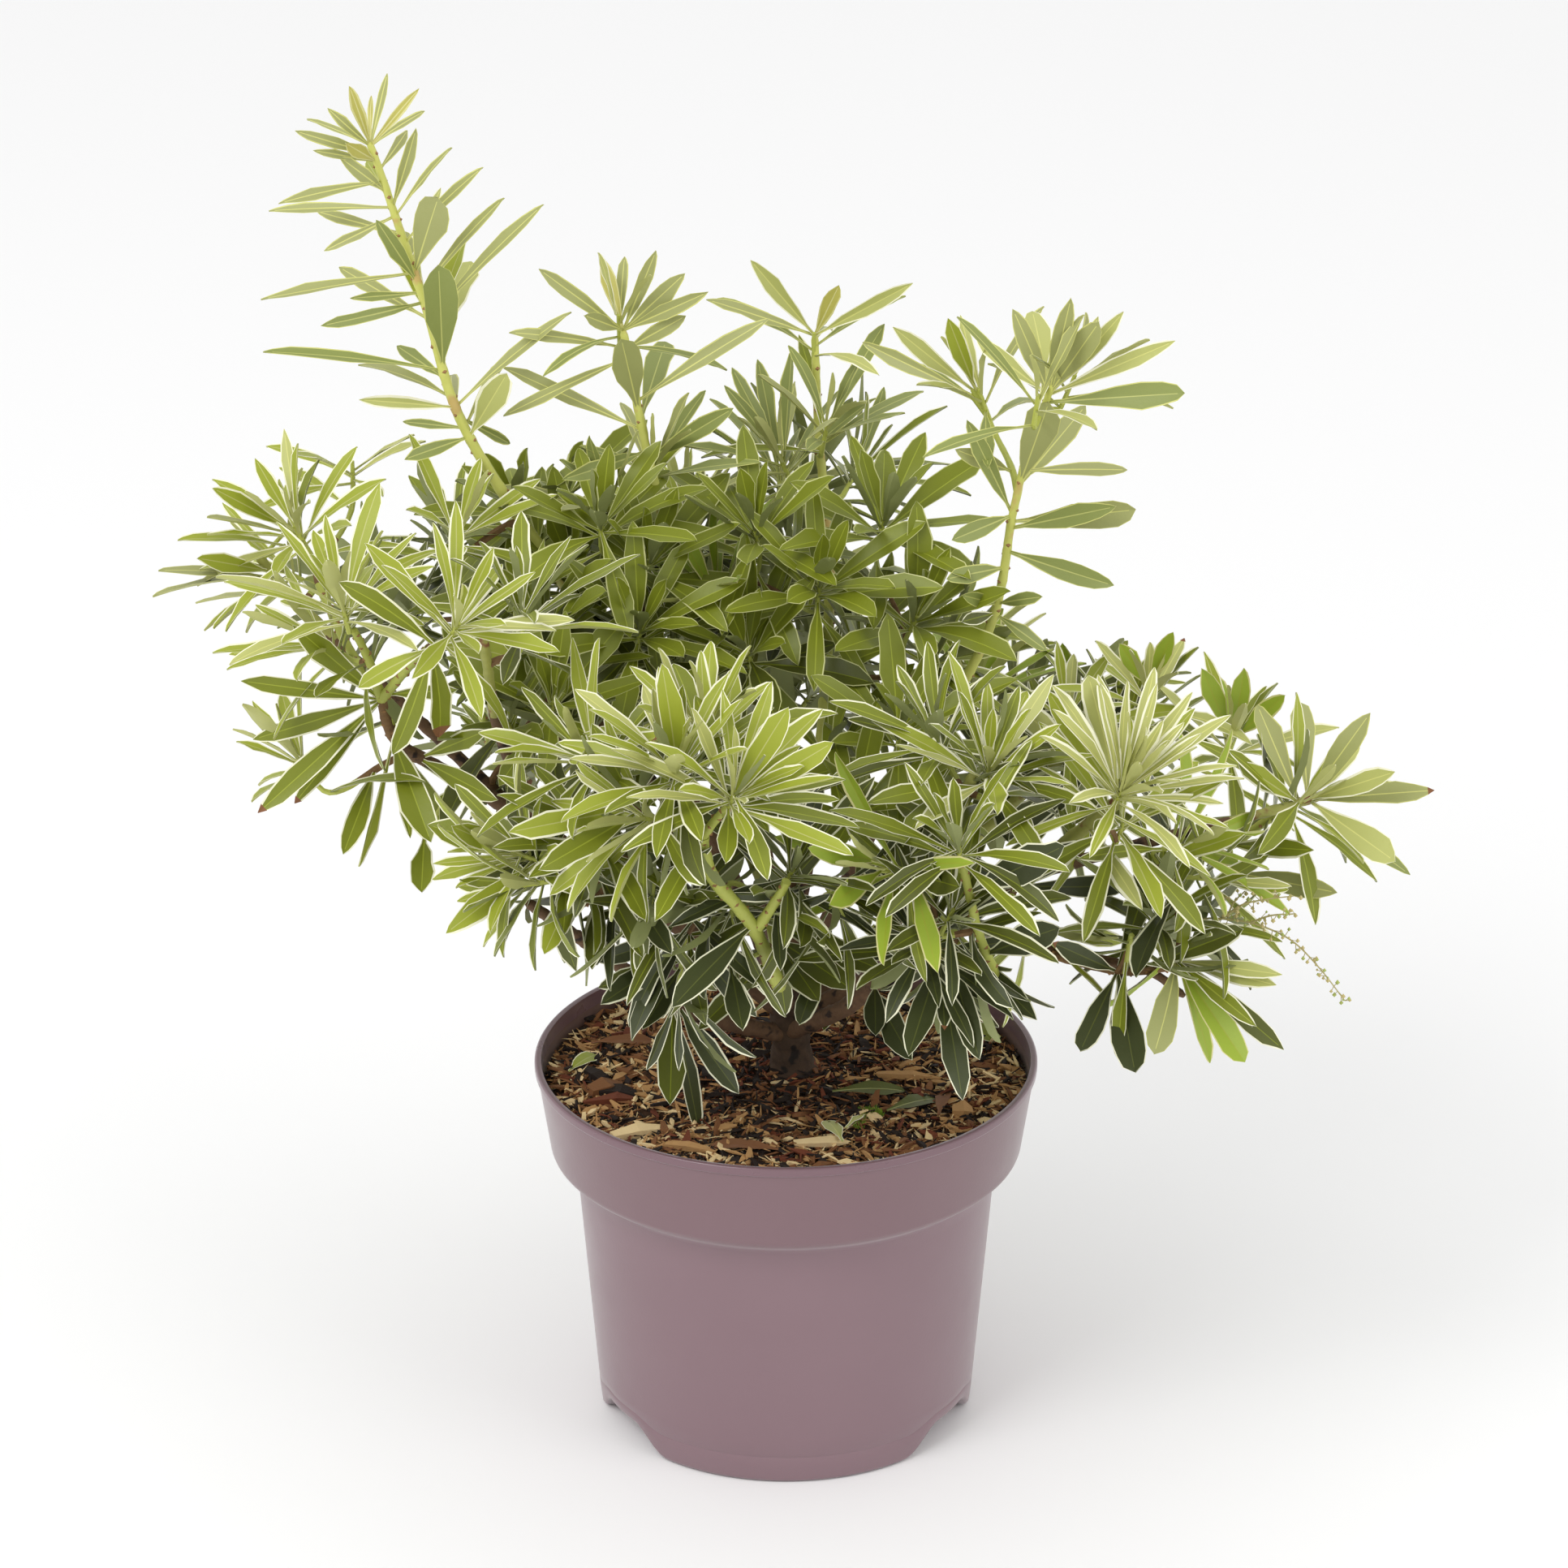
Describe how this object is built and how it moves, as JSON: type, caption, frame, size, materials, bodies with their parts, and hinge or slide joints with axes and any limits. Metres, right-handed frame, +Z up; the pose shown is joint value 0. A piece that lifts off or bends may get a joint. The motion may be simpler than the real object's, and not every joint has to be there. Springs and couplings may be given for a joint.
{
  "type": "potted pieris shrub",
  "caption": "Evergreen pieris shrub with cream-edged leaves in whorls on upright and spreading shoots, growing in a round stepped nursery pot.",
  "frame": {"origin": "centre of the pot's flat underside", "axes": "+Z up along the pot's axis, the front of the plant faces -Y, the tall shoot stands towards -X"},
  "size_m": [0.5665, 0.4291, 0.6383],
  "materials": {
    "pot_plastic": "semi-matte moulded plastic, taupe mauve",
    "soil": "bark mulch over compost",
    "bark": "rough brown bark",
    "green_stem": "smooth young yellow-green bark with leaf scars",
    "foliage": "leathery green leaves with narrow cream edges"
  },
  "bodies": {
    "root": {"back_left_low": "foliage", "back_left_top": "foliage", "back_middle": "foliage", "back_right": "foliage", "back_top": "foliage", "bough_back": "bark", "bough_back_right": "bark", "bough_front": "bark", "bough_front_left": "bark", "bough_front_right": "bark", "bough_left": "bark", "bough_left_back": "bark", "bough_left_front": "bark", "bough_left_outer": "bark", "bough_right": "bark", "bough_right_low": "bark", "bough_right_outer": "bark", "centre_front": "foliage", "centre_left": "foliage", "centre_right": "foliage", "front_droop": "foliage", "front_left": "foliage", "front_left_low": "foliage", "front_main": "foliage", "front_right": "foliage", "front_right_droop": "foliage", "front_right_top": "foliage", "front_skirt": "foliage", "inner_left": "foliage", "inner_low": "foliage", "left_droop": "foliage", "left_front": "foliage", "left_middle": "foliage", "left_outer": "foliage", "left_shoulder": "foliage", "left_top": "foliage", "left_under": "foliage", "pot": "pot_plastic", "right_back_top": "foliage", "right_bright": "foliage", "right_hanging": "foliage", "right_lower": "foliage", "right_middle": "foliage", "right_outer": "foliage", "right_shoot": "green_stem", "right_tip": "foliage", "right_tip_side": "foliage", "right_under": "foliage", "second_low": "foliage", "second_shoot": "green_stem", "second_tip": "foliage", "soil": "soil", "stem": "bark", "tall_low": "foliage", "tall_middle": "foliage", "tall_shoot": "green_stem", "tall_tip": "foliage", "third_low": "foliage", "third_shoot": "green_stem", "third_tip": "foliage"}
  },
  "joints": []
}
